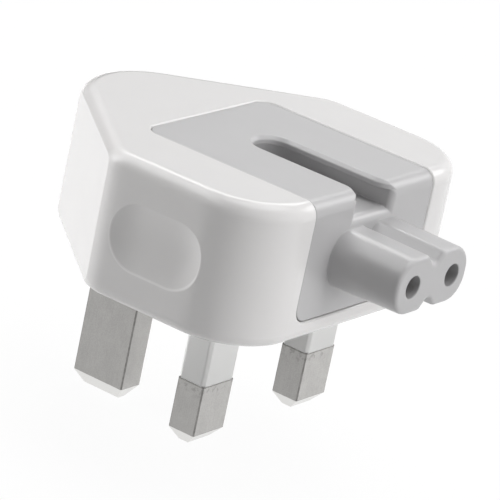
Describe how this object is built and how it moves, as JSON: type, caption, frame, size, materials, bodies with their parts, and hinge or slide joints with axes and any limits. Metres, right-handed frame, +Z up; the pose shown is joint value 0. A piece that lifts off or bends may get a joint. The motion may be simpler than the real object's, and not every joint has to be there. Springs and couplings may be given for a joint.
{
  "type": "power adapter plug",
  "caption": "Wall plug head with flat bevelled pins, a tapered white housing, a keyhole T-slot and a figure-8 connector nose, made to slide onto a power adapter.",
  "frame": {"origin": "midway between the line and neutral pins, on the face that meets the wall socket", "axes": "+Z up, away from the wall socket, with the pins pointing down; +Y towards the earth pin and the round rear end; the connector nose faces -Y and the line pin is on +X"},
  "size_m": [0.0474, 0.0545, 0.0409],
  "materials": {
    "white_plastic": "polished white moulding",
    "grey_plastic": "satin light grey moulding",
    "plated_pins": "satin nickel plate over brass",
    "sleeve_plastic": "satin white moulding",
    "contact_metal": "tin plate over brass"
  },
  "bodies": {
    "root": {"housing": "white_plastic", "base_plate": "white_plastic", "connector_insert": "grey_plastic", "earth_pin": "plated_pins", "line_pin": "plated_pins", "neutral_pin": "plated_pins", "line_sleeve": "sleeve_plastic", "neutral_sleeve": "sleeve_plastic", "line_contact": "contact_metal", "neutral_contact": "contact_metal", "line_strap": "contact_metal", "neutral_strap": "contact_metal"}
  },
  "joints": []
}
